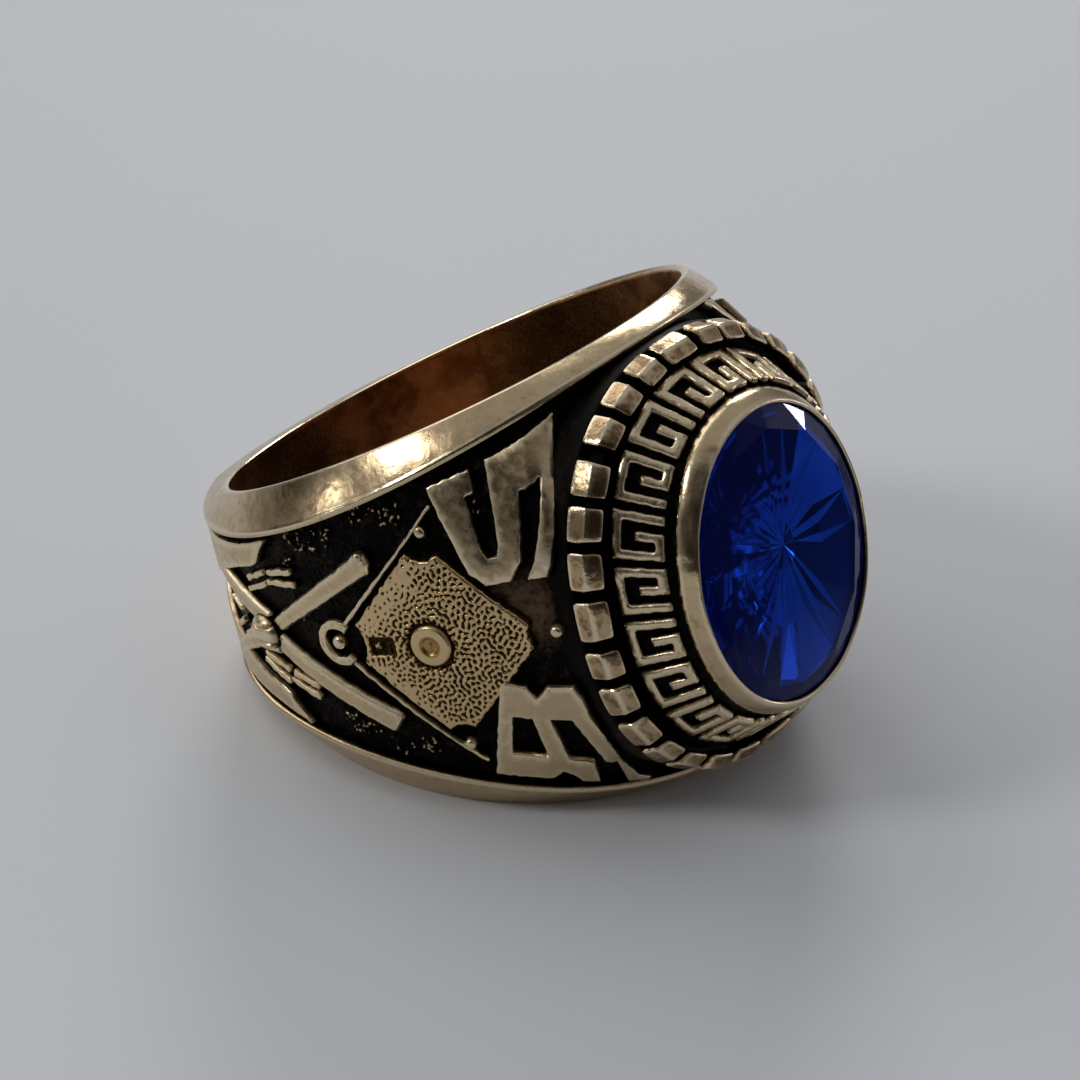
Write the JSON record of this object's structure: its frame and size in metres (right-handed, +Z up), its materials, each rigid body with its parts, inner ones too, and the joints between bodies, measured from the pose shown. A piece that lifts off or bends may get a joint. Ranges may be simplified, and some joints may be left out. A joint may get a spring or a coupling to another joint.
{
  "type": "class ring",
  "caption": "Signet-style class ring lying on its side: smooth bore, raised rails, relief side panels, brick-bordered head and an oval faceted stone in a bezel.",
  "frame": {"origin": "middle of the ring's box, on the surface that it lies on", "axes": "+X towards the stone, +Z up, the finger bore leaning back from +Z by 17 degrees in the XZ plane"},
  "size_m": [0.0284, 0.0224, 0.0182],
  "materials": {
    "gold": "polished 10k yellow gold, recesses antiqued near black",
    "stone": "faceted deep blue synthetic spinel"
  },
  "bodies": {
    "root": {"ring_body": "gold", "stone": "stone"}
  },
  "joints": []
}
